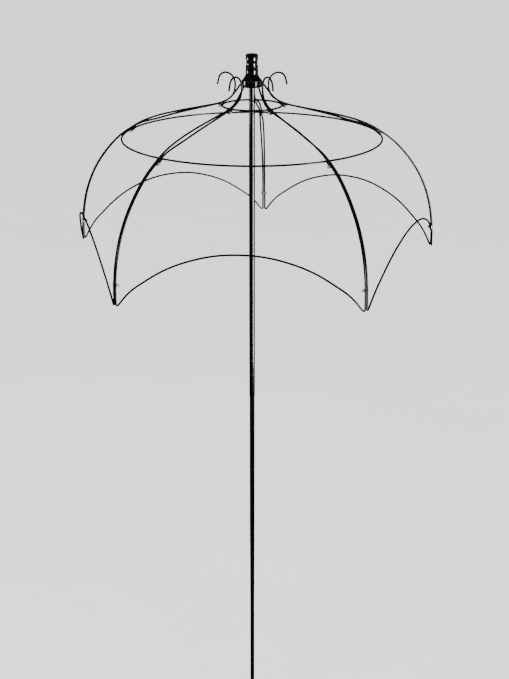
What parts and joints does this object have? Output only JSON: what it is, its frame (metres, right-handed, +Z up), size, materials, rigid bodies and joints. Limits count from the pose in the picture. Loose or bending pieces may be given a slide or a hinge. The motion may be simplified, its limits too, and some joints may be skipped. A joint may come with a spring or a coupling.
{
  "type": "umbrella garden trellis",
  "caption": "Umbrella-shaped steel rod canopy with scroll tops and a turned finial on a tall sectional pole, pushed into soil as a support for climbing plants.",
  "frame": {"origin": "on the pole's axis at ground level, 300 mm above the tip of the pole's point", "axes": "+Z up the pole; +Y from the pole towards the back rib; +X to the right with the back rib behind"},
  "size_m": [0.9864, 0.967, 2.3],
  "materials": {
    "rod_paint": "black satin powder coat on bent steel rod",
    "pole_paint": "black semi-gloss powder coat on drawn steel tube",
    "hub_enamel": "black gloss enamel on turned steel",
    "fastener": "zinc plate, dulled on the flats and bright on the corners",
    "hidden_steel": "plain zinc-plated steel"
  },
  "bodies": {
    "lower_section": {"pole_lower": "pole_paint"},
    "middle_section": {"pole_middle": "pole_paint"},
    "upper_section": {"pole_upper": "pole_paint"},
    "crown": {"gore_frame_1": "rod_paint", "gore_frame_2": "rod_paint", "gore_frame_3": "rod_paint", "gore_frame_4": "rod_paint", "gore_frame_5": "rod_paint", "small_ring": "rod_paint", "mid_ring": "rod_paint", "small_ring_bolts": "fastener", "small_ring_nuts": "fastener", "mid_ring_bolts": "fastener", "mid_ring_nuts": "fastener", "rib_tip_bolts": "fastener", "rib_tip_nuts": "fastener", "hub_disc": "hub_enamel", "hub_sleeve": "hub_enamel", "hub_rod_screws": "hidden_steel", "hub_lock_screw": "hidden_steel", "hub_bell": "hub_enamel", "hub_nut": "hidden_steel", "finial_stud": "hidden_steel", "finial_collar": "hub_enamel", "finial_knob": "hub_enamel"}
  },
  "joints": [
    {"name": "middle_pull", "type": "slide", "parent": "lower_section", "child": "middle_section", "axis": [0, 0, 1], "range_m": [0, 0.06]},
    {"name": "upper_pull", "type": "slide", "parent": "middle_section", "child": "upper_section", "axis": [0, 0, 1], "range_m": [0, 0.07]},
    {"name": "crown_turn", "type": "hinge", "parent": "upper_section", "child": "crown", "pos_m": [0, 0, 1.9164], "axis": [0, 0, 1], "continuous": true}
  ]
}
